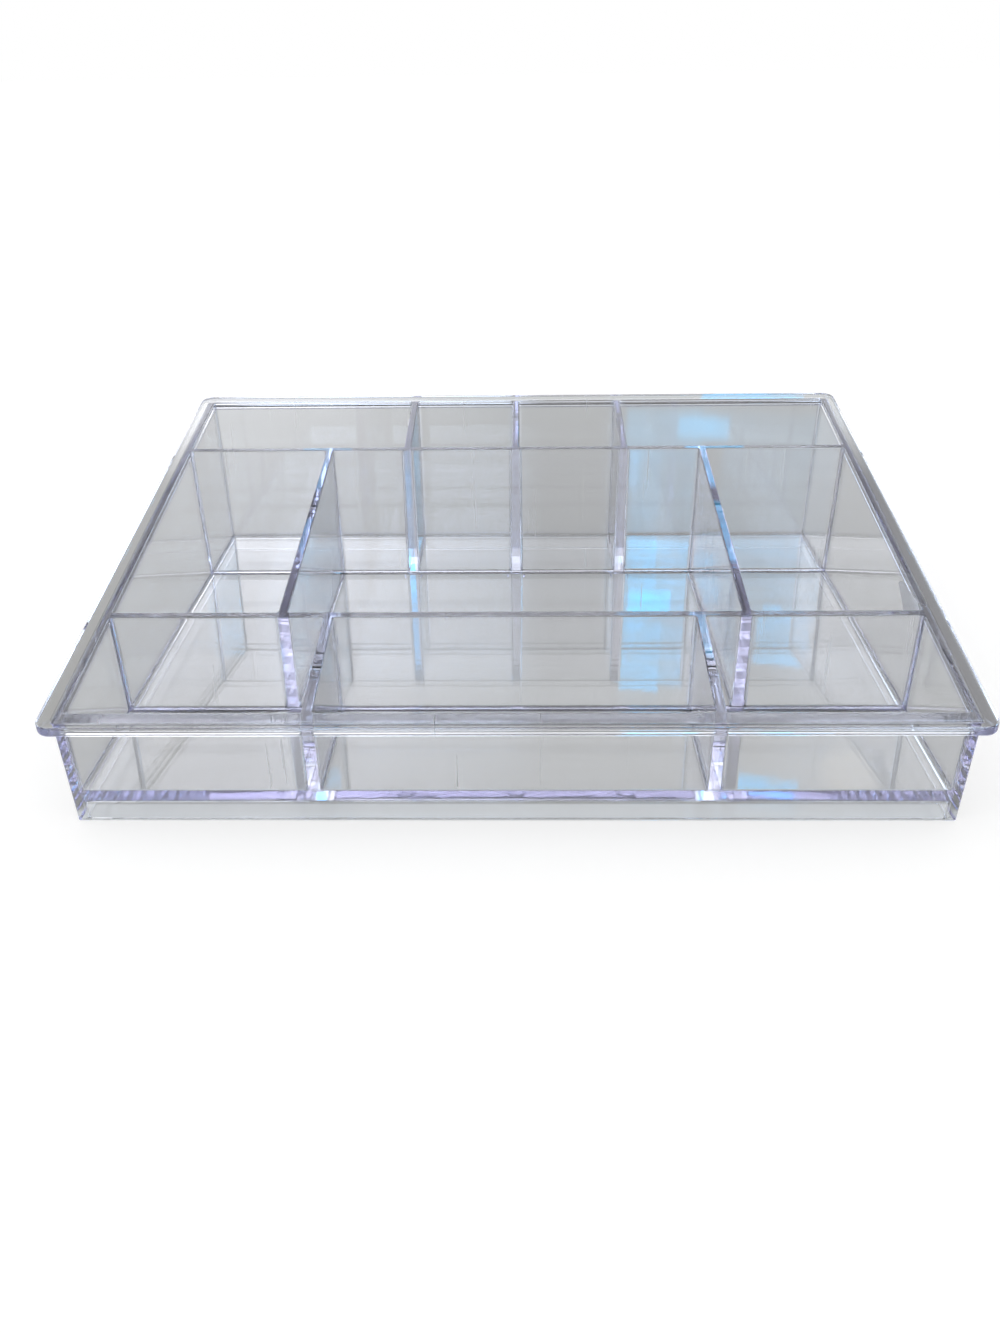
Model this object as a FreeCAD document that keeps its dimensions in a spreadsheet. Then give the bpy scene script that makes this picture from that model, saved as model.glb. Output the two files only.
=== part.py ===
import FreeCAD, Part
import os

import Sketcher

# Vanity organizer: ten open compartments in a low wedge of clear bonded panels.
#
# Frame, in millimetres: X runs across the front from left to right, Y from the front to the back
# and Z up. The origin lies on the table, under the middle of the rim.
#
# The rim and the tops of all walls and dividers lie in one raked plane, which rises towards the
# back. The four walls lean outwards from their feet. Every divider is a little thicker at the
# floor than at its top. The walls run on below the raised floor and stand on the table.

SIZES = {
    # The rim over its outer edges, and how high its front and back edges stand.
    "rim_width": 305.0,
    "rim_depth": 242.0,
    "front_height": 40.0,
    "back_height": 80.0,
    # The flange outside the walls: its thickness, plan corner radius and edge rounding.
    "rim_thickness": 3.2,
    "rim_corner": 5.0,
    "rim_rounding": 0.5,
    # The walls: how far their feet stand in from the rim's edge, and their lean in degrees.
    "foot_inset": 5.7,
    "wall_thickness": 3.0,
    "wall_lean": 1.4,
    # The floor panel and the free height below it.
    "floor_clearance": 7.0,
    "floor_thickness": 4.0,
    # Cross dividers: from the rim's front or back edge to the middle of the divider.
    "front_row": 61.0,
    "rear_row": 55.0,
    # All dividers: thickness at the floor, and draft of each face in degrees.
    "divider_foot": 4.0,
    "divider_draft": 0.4,
    # Lengthwise dividers: spacing from middle to middle within each row.
    "rear_spacing": 48.4,
    "middle_spacing": 166.0,
    "front_spacing": 132.5,
}

# What follows from the sizes, as expressions on the sheet's cells.
HALF_WIDTH = "(sizes.rim_width / 2)"
HALF_DEPTH = "(sizes.rim_depth / 2)"
RAKE = "((sizes.back_height - sizes.front_height) / sizes.rim_depth)"
LEAN = "tan(sizes.wall_lean)"
DRAFT = "tan(sizes.divider_draft)"
FLOOR_TOP = "(sizes.floor_clearance + sizes.floor_thickness)"
ABOVE_RIM = "(sizes.front_height + sizes.back_height)"
TABLE = "0"


# A flat leaning face is written as a pair: where it would meet the table, and how far it moves
# outwards for each millimetre of height.


def wall_faces(half_size, side):
    """The outside and inside faces of a wall. side is - at the left and front, + elsewhere."""
    inwards = "+" if side == "-" else "-"
    foot = f"({side}({half_size} - sizes.foot_inset))"
    rate = f"({side}{LEAN})"
    return (foot, rate), (f"({foot} {inwards} sizes.wall_thickness)", rate)


def divider_faces(middle):
    """The lower-numbered and higher-numbered faces of a divider that stands on the floor."""
    half_foot = f"(sizes.divider_foot / 2 + {FLOOR_TOP} * {DRAFT})"
    return (f"(({middle}) - {half_foot})", DRAFT), (f"(({middle}) + {half_foot})", f"(-{DRAFT})")


def place_at(face, height):
    """Where a leaning face stands at a height."""
    foot, rate = face
    return f"({foot} + {rate} * {height})"


def rim_point(face):
    """The depth and height at which a leaning face meets the raked plane of the rim."""
    foot, rate = face
    height = f"((sizes.front_height + {RAKE} * ({foot} + {HALF_DEPTH})) / (1 - {RAKE} * {rate}))"
    return place_at(face, height), height


LEFT_OUTSIDE, LEFT_INSIDE = wall_faces(HALF_WIDTH, "-")
RIGHT_OUTSIDE, RIGHT_INSIDE = wall_faces(HALF_WIDTH, "+")
FRONT_OUTSIDE, FRONT_INSIDE = wall_faces(HALF_DEPTH, "-")
BACK_OUTSIDE, BACK_INSIDE = wall_faces(HALF_DEPTH, "+")
FRONT_CROSS_FACES = divider_faces(f"sizes.front_row - {HALF_DEPTH}")
REAR_CROSS_FACES = divider_faces(f"{HALF_DEPTH} - sizes.rear_row")

doc = FreeCAD.newDocument("vanity_organizer")
sheet = doc.addObject("Spreadsheet::Sheet", "sizes")
sub_parts = []


def fill_sheet():
    """Each driving dimension gets a row with its name and its value."""
    for row, (name, value) in enumerate(SIZES.items(), start=1):
        sheet.set(f"A{row}", name)
        sheet.set(f"B{row}", str(value))
        sheet.setAlias(f"B{row}", name)
    doc.recompute()


def padded_outline(name, plane_role, corners, length):
    """A body: a closed straight-sided outline on an origin plane, padded evenly to both sides."""
    body = doc.addObject("PartDesign::Body", name)
    outline = body.newObject("Sketcher::SketchObject", f"{name}_outline")
    plane = next(item for item in body.Origin.OriginFeatures if item.Role == plane_role)
    outline.AttachmentSupport = [(plane, "")]
    outline.MapMode = "FlatFace"
    points = [
        FreeCAD.Vector(float(sheet.evalExpression(across)), float(sheet.evalExpression(up)), 0)
        for across, up in corners
    ]
    count = len(points)
    for number in range(count):
        outline.addGeometry(Part.LineSegment(points[number], points[(number + 1) % count]), False)
    for number in range(count):
        outline.addConstraint(Sketcher.Constraint("Coincident", number, 2, (number + 1) % count, 1))
    for number, expressions in enumerate(corners):
        for kind, expression, value in zip("XY", expressions, points[number]):
            held = outline.addConstraint(
                Sketcher.Constraint(f"Distance{kind}", -1, 1, number, 1, value)
            )
            outline.renameConstraint(held, f"corner_{number + 1}_{kind.lower()}")
            outline.setExpression(f"Constraints.corner_{number + 1}_{kind.lower()}", expression)
    pad = body.newObject("PartDesign::Pad", f"{name}_pad")
    pad.Profile = outline
    pad.SideType = "Symmetric"
    pad.setExpression("Length", length)
    outline.Visibility = False
    return body


def across_panel(name, front_face, back_face, bottom):
    """A panel that runs across the organizer, between two leaning faces and up to the rim."""
    corners = [
        (place_at(front_face, bottom), bottom),
        (place_at(back_face, bottom), bottom),
        rim_point(back_face),
        rim_point(front_face),
    ]
    return padded_outline(name, "YZ_Plane", corners, "sizes.rim_width")


def lengthwise_panel(name, left_face, right_face, bottom):
    """A panel that runs from front to back, between two leaning faces and past the rim's height."""
    corners = [
        (place_at(left_face, bottom), bottom),
        (place_at(right_face, bottom), bottom),
        (place_at(right_face, ABOVE_RIM), ABOVE_RIM),
        (place_at(left_face, ABOVE_RIM), ABOVE_RIM),
    ]
    return padded_outline(name, "XZ_Plane", corners, "sizes.rim_depth")


def boolean(kind, name, base, tool):
    """The cut or common of two shapes, with its seams cleaned."""
    result = doc.addObject(f"Part::{kind}", name)
    result.Base = base
    result.Tool = tool
    result.Refine = True
    return result


def sub_part(name, stock, space):
    """A finished piece: the part of its stock that lies in the space left for it."""
    piece = boolean("Common", name, stock, space)
    piece.Label = name
    sub_parts.append(piece)


def make_walls():
    """Side walls over the full depth, with the front and back walls fitted between them."""
    outer_side_view = across_panel("outer_side_view", FRONT_OUTSIDE, BACK_OUTSIDE, TABLE)
    left = lengthwise_panel("left_wall_stock", LEFT_OUTSIDE, LEFT_INSIDE, TABLE)
    right = lengthwise_panel("right_wall_stock", RIGHT_INSIDE, RIGHT_OUTSIDE, TABLE)
    sub_part("left_wall", left, outer_side_view)
    sub_part("right_wall", right, outer_side_view)

    inner_width = lengthwise_panel("inner_width", LEFT_INSIDE, RIGHT_INSIDE, TABLE)
    front = across_panel("front_wall_stock", FRONT_OUTSIDE, FRONT_INSIDE, TABLE)
    back = across_panel("back_wall_stock", BACK_INSIDE, BACK_OUTSIDE, TABLE)
    sub_part("front_wall", front, inner_width)
    sub_part("back_wall", back, inner_width)
    return inner_width


def make_floor(inner_width):
    """The raised floor, which fills the space between the four walls."""
    underside = "sizes.floor_clearance"
    corners = [
        (place_at(FRONT_INSIDE, underside), underside),
        (place_at(BACK_INSIDE, underside), underside),
        (place_at(BACK_INSIDE, FLOOR_TOP), FLOOR_TOP),
        (place_at(FRONT_INSIDE, FLOOR_TOP), FLOOR_TOP),
    ]
    stock = padded_outline("floor_stock", "YZ_Plane", corners, "sizes.rim_width")
    sub_part("floor_panel", stock, inner_width)


def make_cross_dividers(inner_width):
    """Two dividers from side wall to side wall, which part the three rows."""
    rear = across_panel("rear_cross_stock", *REAR_CROSS_FACES, FLOOR_TOP)
    front = across_panel("front_cross_stock", *FRONT_CROSS_FACES, FLOOR_TOP)
    sub_part("rear_cross_divider", rear, inner_width)
    sub_part("front_cross_divider", front, inner_width)


def make_row_dividers(row, front_face, back_face, middles):
    """The lengthwise dividers of one row, each trimmed between the panels before and behind it."""
    row_space = across_panel(f"{row}_row_space", front_face, back_face, FLOOR_TOP)
    for side, middle in middles.items():
        stock = lengthwise_panel(f"{row}_{side}_stock", *divider_faces(middle), FLOOR_TOP)
        sub_part(f"{row}_divider_{side}", stock, row_space)


def make_rim():
    """The flange: a raked plate with rounded corners round the walls, mitred into four strips."""
    corners = [
        (f"(-{HALF_DEPTH})", "(sizes.front_height - sizes.rim_thickness)"),
        (HALF_DEPTH, "(sizes.back_height - sizes.rim_thickness)"),
        (HALF_DEPTH, "sizes.back_height"),
        (f"(-{HALF_DEPTH})", "sizes.front_height"),
    ]
    plate = padded_outline("rim_plate", "YZ_Plane", corners, "sizes.rim_width")
    doc.recompute()
    pad = plate.Tip
    upright_edges = [
        f"Edge{number}"
        for number, edge in enumerate(pad.Shape.Edges, start=1)
        if abs(edge.tangentAt(edge.FirstParameter).z) > 0.999
    ]
    round_corners = plate.newObject("PartDesign::Fillet", "rim_plan_corners")
    round_corners.Base = (pad, upright_edges)
    round_corners.setExpression("Radius", "sizes.rim_corner")
    doc.recompute()
    broad_faces = [
        f"Face{number}"
        for number, face in enumerate(round_corners.Shape.Faces, start=1)
        if abs(face.normalAt(0, 0).z) > 0.7
    ]
    round_edges = plate.newObject("PartDesign::Fillet", "rim_soft_edges")
    round_edges.Base = (round_corners, broad_faces)
    round_edges.setExpression("Radius", "sizes.rim_rounding")

    outer_width = lengthwise_panel("outer_width", LEFT_OUTSIDE, RIGHT_OUTSIDE, TABLE)
    depth_corners = [
        (place_at(FRONT_OUTSIDE, TABLE), TABLE),
        (place_at(BACK_OUTSIDE, TABLE), TABLE),
        (place_at(BACK_OUTSIDE, ABOVE_RIM), ABOVE_RIM),
        (place_at(FRONT_OUTSIDE, ABOVE_RIM), ABOVE_RIM),
    ]
    outer_depth = padded_outline("outer_depth", "YZ_Plane", depth_corners, "sizes.rim_width")
    wall_space = boolean("Common", "wall_space", outer_width, outer_depth)
    ring = boolean("Cut", "rim_ring", plate, wall_space)

    # Each strip is cut out by a plan outline whose slanting sides start at the rim's corners.
    reach = "(2 * sizes.foot_inset)"
    right, left = HALF_WIDTH, f"(-{HALF_WIDTH})"
    back, front = HALF_DEPTH, f"(-{HALF_DEPTH})"
    inner_right, inner_left = f"({right} - {reach})", f"({left} + {reach})"
    inner_back, inner_front = f"({back} - {reach})", f"({front} + {reach})"
    inner_corners = {
        "front": [(left, front), (right, front), (inner_right, inner_front), (inner_left, inner_front)],
        "right": [(right, front), (right, back), (inner_right, inner_back), (inner_right, inner_front)],
        "back": [(right, back), (left, back), (inner_left, inner_back), (inner_right, inner_back)],
        "left": [(left, back), (left, front), (inner_left, inner_front), (inner_left, inner_back)],
    }
    for side, plan in inner_corners.items():
        mitre = padded_outline(f"{side}_mitre", "XY_Plane", plan, f"(2 * {ABOVE_RIM})")
        sub_part(f"rim_{side}", ring, mitre)


def check_document():
    """Stops the build if an object failed, or if a piece isn't one sound solid."""
    doc.recompute()
    for item in doc.Objects:
        if "Invalid" in item.State or "Error" in item.State:
            raise RuntimeError(f"{item.Label} failed: {item.State}")
    for piece in sub_parts:
        shape = piece.Shape
        if shape.isNull() or not shape.isValid() or len(shape.Solids) != 1:
            raise RuntimeError(f"{piece.Label} isn't one valid solid")


def write_parts():
    """One file for each piece, named by its label."""
    os.makedirs("parts", exist_ok=True)
    for piece in sub_parts:
        piece.Shape.exportStep(os.path.join("parts", f"{piece.Label}.step"))


fill_sheet()
width_space = make_walls()
make_floor(width_space)
make_cross_dividers(width_space)
make_row_dividers(
    "rear",
    REAR_CROSS_FACES[1],
    BACK_INSIDE,
    {"left": "-sizes.rear_spacing", "center": "0", "right": "sizes.rear_spacing"},
)
make_row_dividers(
    "middle",
    FRONT_CROSS_FACES[1],
    REAR_CROSS_FACES[0],
    {"left": "-sizes.middle_spacing / 2", "right": "sizes.middle_spacing / 2"},
)
make_row_dividers(
    "front",
    FRONT_INSIDE,
    FRONT_CROSS_FACES[0],
    {"left": "-sizes.front_spacing / 2", "right": "sizes.front_spacing / 2"},
)
make_rim()
check_document()
write_parts()
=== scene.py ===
import math
from collections import namedtuple

import bmesh
import bpy
from bpy.props import FloatProperty, FloatVectorProperty, IntProperty, PointerProperty
from mathutils import Matrix, Vector


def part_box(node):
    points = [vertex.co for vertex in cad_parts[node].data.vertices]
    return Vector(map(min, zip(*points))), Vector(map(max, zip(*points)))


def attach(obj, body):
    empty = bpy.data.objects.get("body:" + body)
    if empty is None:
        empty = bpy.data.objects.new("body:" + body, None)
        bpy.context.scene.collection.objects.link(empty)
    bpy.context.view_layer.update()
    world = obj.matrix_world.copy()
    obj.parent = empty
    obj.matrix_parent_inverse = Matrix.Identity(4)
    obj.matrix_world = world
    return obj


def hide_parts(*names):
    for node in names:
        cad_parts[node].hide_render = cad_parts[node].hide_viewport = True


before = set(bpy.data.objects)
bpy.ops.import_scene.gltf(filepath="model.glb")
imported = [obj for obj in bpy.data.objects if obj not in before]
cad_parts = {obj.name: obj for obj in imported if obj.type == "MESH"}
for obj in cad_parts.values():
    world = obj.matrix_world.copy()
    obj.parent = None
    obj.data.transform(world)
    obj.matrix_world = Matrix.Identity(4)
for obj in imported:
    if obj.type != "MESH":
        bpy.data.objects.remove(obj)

bl_info = {
    "name": "Clear Vanity Organizer",
    "version": (1, 0, 0),
    "blender": (4, 5, 0),
    "location": "3D View > Sidebar > Organizer",
    "description": "Makes a clear moulded vanity organizer with ten compartments, and its studio",
    "category": "Object",
}

# The organizer is clear all through. It is cast here the way a mould makes it: one outer block,
# less a core with rounded corners for each compartment and for the space under the floor. Then it
# is parted along the joints of its panels, so that each panel is a closed piece of its own.
# Its flat faces are taken from the frame's panels, so each piece lies where its panel does.

RIGHT = Vector((1, 0, 0))
LEFT = -RIGHT
BACK = Vector((0, 1, 0))
FRONT = -BACK
UP = Vector((0, 0, 1))
DOWN = -UP
# A face looks towards a direction if the cosine of the angle between them is more than this.
LOOKS_TOWARDS = 0.9

# A flat face of unlimited size: a point on it, and the direction in which it looks.
Plane = namedtuple("Plane", "point normal")

ROWS = {
    "front": ("front_divider_left", "front_divider_right"),
    "middle": ("middle_divider_left", "middle_divider_right"),
    "rear": ("rear_divider_left", "rear_divider_center", "rear_divider_right"),
}
# The panels in front of and behind each row of compartments.
ROW_ENDS = {
    "front": ("front_wall", "front_cross_divider"),
    "middle": ("front_cross_divider", "rear_cross_divider"),
    "rear": ("rear_cross_divider", "back_wall"),
}
SIDES = {"front": FRONT, "back": BACK, "left": LEFT, "right": RIGHT}
CLEAR_STOCK = "clear_stock"
POLISHED_PLASTIC = "polished_clear_plastic"
WORN_PLASTIC = "worn_clear_plastic"
BODY = "root"

# How far a cutting block reaches out into the open air beyond the organizer.
OPEN_AIR = 0.010
# An edge is rounded where its two faces turn by more than this, on the outer block and on a core.
OUTER_EDGE_TURN = math.radians(60)
CORE_EDGE_TURN = math.radians(30)
# The round mouth of a core ends this far outside the face that it cuts, as a share of its radius.
MOUTH_OVERSHOOT = 0.02
# Corners this near to a flat cut lie on it, and corners this near to each other become one.
CUT_NEARNESS = 1e-7
CORNER_NEARNESS = 1e-6
# A mould's pin is this many times as high as its mark is deep, and has this many facets round it.
PIN_HEIGHTS = 4
PIN_FACETS = 48
# A parting cut takes in this many fillet radii beside a panel.
TOE_REACH = 1.1

# How far the soft waves in the plastic's faces are bent out of an even pattern.
WAVE_DISTORTION = 0.6
# Scuffs lie only where the upright part of a face's direction is less than this.
SCUFF_SLOPE = 0.5

WHITE = (1, 1, 1)
# To the camera and through the plastic this share of the floor glows, at this strength. The rest is
# lit, and takes the organizer's shadow.
FLOOR_GLOW_SHARE = 0.6
FLOOR_GLOW = 1.04
# How strongly the table's polish bends light.
POLISH_INDEX = 1.5
# Beyond its sides the table has painted shade, in two dark bands that spread towards the back.
SHADE_BAND_MIDDLE = 0.212
SHADE_BAND_HALF_WIDTH = 0.030
SHADE_BAND_SPREAD = 0.105
SHADE_BAND_SOFTNESS = 0.004
# Just behind the front wall's foot the table is painted pale: a painted strip of light for the light that
# the front wall pipes down.
FOOT_LIGHT_INSET = 0.0053
FOOT_LIGHT_HALF_WIDTH = 0.008
FOOT_LIGHT_SOFTNESS = 0.009

# In the room a heading is in radians to the right of straight back, and a rise is the sine of a
# height. A pair is where a change of light starts and where it ends.
# The wall's light changes from that of the horizon to that of the upper wall.
WALL_RISE = (0.34, 0.54)
# From about straight back to the left the wall gets brighter.
LEFT_WALL_HEADING = (0.02, -0.24)
# Over the wall the room is dim, and it gets a little brighter overhead.
UPPER_ROOM_RISE = (0.575, 0.625)
OVERHEAD_RISE = (0.84, 0.95)
# Within this heading to either side the bright wall is at its full height. Beyond, it is lower by
# the drop, as a rise.
HIGH_WALL = 0.31
HIGH_WALL_SOFTNESS = 0.06
SIDE_DROP = 0.030
# Straight back the room is evenly bright, to this heading at either side.
STRAIGHT_BACK = 0.55
STRAIGHT_BACK_SOFTNESS = 0.10
# Panels of light ring the rest: so many waves round the room, each lit where it is over zero, with
# an edge that is soft to this far from zero.
PANEL_COUNT = 12
PANEL_EDGE = 0.3
# The window's panes: the heading and rise of each, half its width and height, and its share of light.
WindowPane = namedtuple("WindowPane", "heading rise half_width half_height share")
WINDOW_PANES = (
    # The main window, and its bright lower panes.
    WindowPane(0.128, 0.385, 0.034, 0.115, 0.38),
    WindowPane(0.104, 0.328, 0.006, 0.016, 1.00),
    WindowPane(0.163, 0.284, 0.023, 0.009, 1.00),
    WindowPane(0.115, 0.385, 0.014, 0.075, 0.65),
    WindowPane(0.123, 0.420, 0.021, 0.013, 1.00),
    WindowPane(0.118, 0.472, 0.020, 0.033, 0.55),
    # The smaller window to its right.
    WindowPane(0.232, 0.355, 0.050, 0.085, 0.16),
    WindowPane(0.240, 0.418, 0.009, 0.005, 0.45),
    WindowPane(0.253, 0.447, 0.025, 0.021, 0.40),
    # The upper windows, which light the top edges.
    WindowPane(0.235, 0.555, 0.050, 0.012, 0.60),
    WindowPane(0.205, 0.595, 0.030, 0.017, 0.80),
    WindowPane(0.243, 0.641, 0.030, 0.019, 0.80),
    WindowPane(0.228, 0.709, 0.022, 0.013, 0.80),
    WindowPane(-0.210, 0.597, 0.025, 0.015, 0.40),
    WindowPane(-0.235, 0.645, 0.025, 0.015, 0.35),
)
PANE_SOFTNESS = 0.005
# Clouds and a blind dim the window's light by a noise each, to this share where it is low.
DIMMEST = 0.7
CLOUD_SCALE = 30
CLOUD_DISTORTION = 1
CLOUD_NOISE = (0.35, 0.60)
# How often the blind's light changes per radian of heading, and per unit of rise.
SLAT_SCALE = (12, 130)
SLAT_NOISE = (0.42, 0.58)
# The small warm lamp: its heading and height, and how far its soft edge and its core reach from there.
LAMP_HEADING = math.radians(19.2)
LAMP_HEIGHT = math.radians(32)
LAMP_EDGE = math.radians(1.8)
LAMP_CORE = math.radians(0.6)

# The large soft lamp is a square that hangs high at the front left.
SOFT_LAMP_PLACE = (-0.8, -0.3, 1.2)
SOFT_LAMP_SIZE = 0.9
# The photo's height and its camera's focal length, both in pixels.
PICTURE_HEIGHT = 1333
FOCAL_LENGTH = 1118.476
# The height of the camera's sensor in millimetres, and how near to it a thing still shows.
SENSOR_HEIGHT = 24
NEAREST_VIEW = 0.01


def face_of(node, towards):
    """The largest flat face of a frame panel that looks towards a direction."""
    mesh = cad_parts[node].data
    looking = [face for face in mesh.polygons if face.normal.dot(towards) > LOOKS_TOWARDS]
    face = max(looking, key=lambda each: each.area)
    return Plane(mesh.vertices[face.vertices[0]].co.copy(), face.normal.copy())


def moved(plane, distance):
    """The same face, further out along the direction in which it looks."""
    return Plane(plane.point + plane.normal * distance, plane.normal)


def turned(plane):
    """The same face, looking the other way."""
    return Plane(plane.point, -plane.normal)


def meeting_point(first, second, third):
    """The point that three flat faces share."""
    directions = Matrix((first.normal, second.normal, third.normal))
    reach = Vector([plane.point.dot(plane.normal) for plane in (first, second, third)])
    return directions.inverted() @ reach


def foot_of(node, towards, height):
    """How far out a leaning face stands where it crosses a height, and how far it leans per rise."""
    face = face_of(node, towards)
    across = face.normal.dot(towards)
    lean = -face.normal.z / across
    outward = face.point.dot(towards) + (height - face.point.z) * lean
    return outward, lean


def box_middle(node):
    """The middle of a frame panel's box."""
    lowest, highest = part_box(node)
    return (lowest + highest) / 2


def row_spacing(row):
    """The distance from one lengthwise divider of a row to the next."""
    dividers = ROWS[row]
    first = box_middle(dividers[0])
    last = box_middle(dividers[-1])
    return (last.x - first.x) / (len(dividers) - 1)


def rim_outline():
    """The rim's outer edges: left, right, front and back."""
    return (
        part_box("rim_left")[0].x,
        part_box("rim_right")[1].x,
        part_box("rim_front")[0].y,
        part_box("rim_back")[1].y,
    )


FLOOR_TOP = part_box("floor_panel")[1].z
DIVIDER_FOOT, DIVIDER_LEAN = foot_of("rear_divider_center", RIGHT, FLOOR_TOP)


class MouldingSettings(bpy.types.PropertyGroup):
    """Sizes of the moulding that the frame's flat panels leave open."""

    fillet: FloatProperty(
        name="Inner Fillet",
        description="Radius of the fillets where two panels meet inside a compartment",
        default=0.0010, min=0.0001, unit="LENGTH", subtype="DISTANCE",
    )
    edge_round: FloatProperty(
        name="Edge Rounding",
        description="Radius of the outer edges of the rim, the feet and the top edges",
        default=0.00055, min=0.0001, unit="LENGTH", subtype="DISTANCE",
    )
    round_steps: IntProperty(
        name="Rounding Steps",
        description="How many facets make one rounding",
        default=4, min=1, max=12,
    )
    rim_corner: FloatProperty(
        name="Rim Corner",
        description="Radius of the rim's corners as seen from above",
        default=0.005, min=0.001, unit="LENGTH", subtype="DISTANCE",
    )
    rim_corner_steps: IntProperty(
        name="Rim Corner Steps",
        description="How many facets make one corner of the rim",
        default=12, min=2, max=48,
    )
    joint_lap: FloatProperty(
        name="Joint Lap",
        description="How far a joint's two pieces share the clear stock, so that no air is between them",
        default=0.000005, min=0.000001, precision=6, unit="LENGTH", subtype="DISTANCE",
    )
    divider_foot: FloatProperty(
        name="Divider Foot",
        description="Thickness of the lengthwise dividers at the floor",
        default=2 * DIVIDER_FOOT, unit="LENGTH", subtype="DISTANCE",
    )
    pin_mark_width: FloatProperty(
        name="Pin Mark Width",
        description="Diameter of the round marks that the mould's pins leave under the floor",
        default=0.0074, unit="LENGTH", subtype="DISTANCE",
    )
    pin_mark_depth: FloatProperty(
        name="Pin Mark Depth",
        description="Depth of the round marks under the floor",
        default=0.0005, precision=5, unit="LENGTH", subtype="DISTANCE",
    )


class PlasticSettings(bpy.types.PropertyGroup):
    """The clear plastic."""

    tint: FloatVectorProperty(
        name="Tint",
        description="Colour that long ways through the plastic take on",
        default=(0.50, 0.47, 0.80), size=3, min=0, max=1, subtype="COLOR",
    )
    tint_density: FloatProperty(
        name="Tint Density",
        description="How fast the plastic takes on its tint, per metre",
        default=6.0, min=0,
    )
    refractive_index: FloatProperty(
        name="Refractive Index",
        description="How strongly the plastic bends light",
        default=1.57, min=1, max=2.5,
    )
    haze: FloatProperty(
        name="Surface Haze",
        description="Share of the light that fine wear on each face of the panels scatters",
        default=0.02, min=0, max=0.5, subtype="FACTOR",
    )
    flow_length: FloatProperty(
        name="Flow Wave Length",
        description="Distance from one wave to the next of those that the flowing plastic leaves",
        default=0.018, unit="LENGTH", subtype="DISTANCE",
    )
    flow_depth: FloatProperty(
        name="Flow Wave Depth",
        description="Depth of the waves that the flowing plastic leaves",
        default=0.000008, precision=6, unit="LENGTH", subtype="DISTANCE",
    )
    ripple_length: FloatProperty(
        name="Ripple Length",
        description="Distance from one fine ripple to the next",
        default=0.0035, unit="LENGTH", subtype="DISTANCE",
    )
    ripple_depth: FloatProperty(
        name="Ripple Depth",
        description="Depth of the fine ripples",
        default=0.0000015, precision=7, unit="LENGTH", subtype="DISTANCE",
    )
    scuff_roughness: FloatProperty(
        name="Scuff Roughness",
        description="Roughness of the fine upright scuffs that things leave when they are put in",
        default=0.4, min=0, max=1, subtype="FACTOR",
    )
    scuff_spacing: FloatProperty(
        name="Scuff Spacing",
        description="About how far apart the scuffs can lie",
        default=0.028, unit="LENGTH", subtype="DISTANCE",
    )
    scuff_share: FloatProperty(
        name="Scuff Share",
        description="Share of those places that do have a scuff",
        default=0.35, min=0, max=1, subtype="FACTOR",
    )
    scuff_length: FloatProperty(
        name="Scuff Length",
        description="Length of a scuff",
        default=0.026, unit="LENGTH", subtype="DISTANCE",
    )
    scuff_foot: FloatProperty(
        name="Scuff Foot",
        description="Height above the table from which scuffs begin",
        default=FLOOR_TOP + 0.003, unit="LENGTH", subtype="DISTANCE",
    )
    scuff_width: FloatProperty(
        name="Scuff Width",
        description="Width of a scuff in its middle",
        default=0.0004, precision=5, unit="LENGTH", subtype="DISTANCE",
    )


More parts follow.
